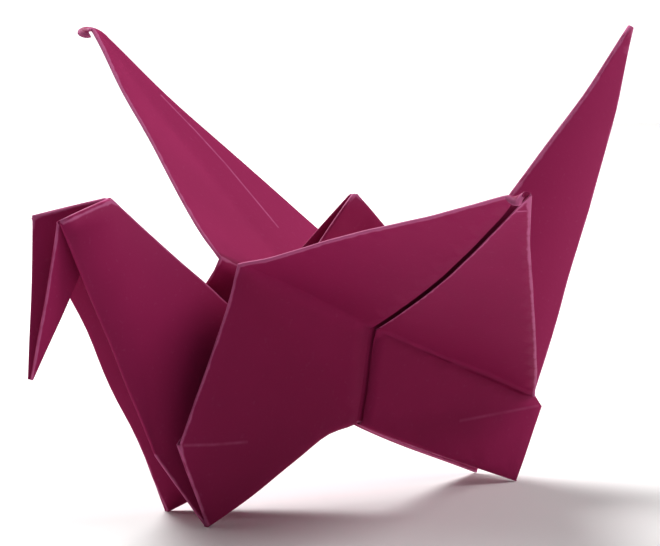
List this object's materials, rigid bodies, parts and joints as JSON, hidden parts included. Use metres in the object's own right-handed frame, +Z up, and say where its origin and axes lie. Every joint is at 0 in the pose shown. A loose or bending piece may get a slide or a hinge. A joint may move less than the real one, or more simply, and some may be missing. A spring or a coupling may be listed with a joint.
{
  "type": "origami crane",
  "caption": "Standing folded-paper crane with raised wings, bent neck, pointed tail and a thin folded body, made from one square sheet.",
  "frame": {"origin": "on the ground, under the middle of the crane's outline", "axes": "+Z up, head towards -X, tail towards +X, wings towards -Y and +Y"},
  "size_m": [0.1028, 0.1046, 0.066],
  "materials": {
    "paper": "matte"
  },
  "bodies": {
    "root": {"crane": "paper"}
  },
  "joints": []
}
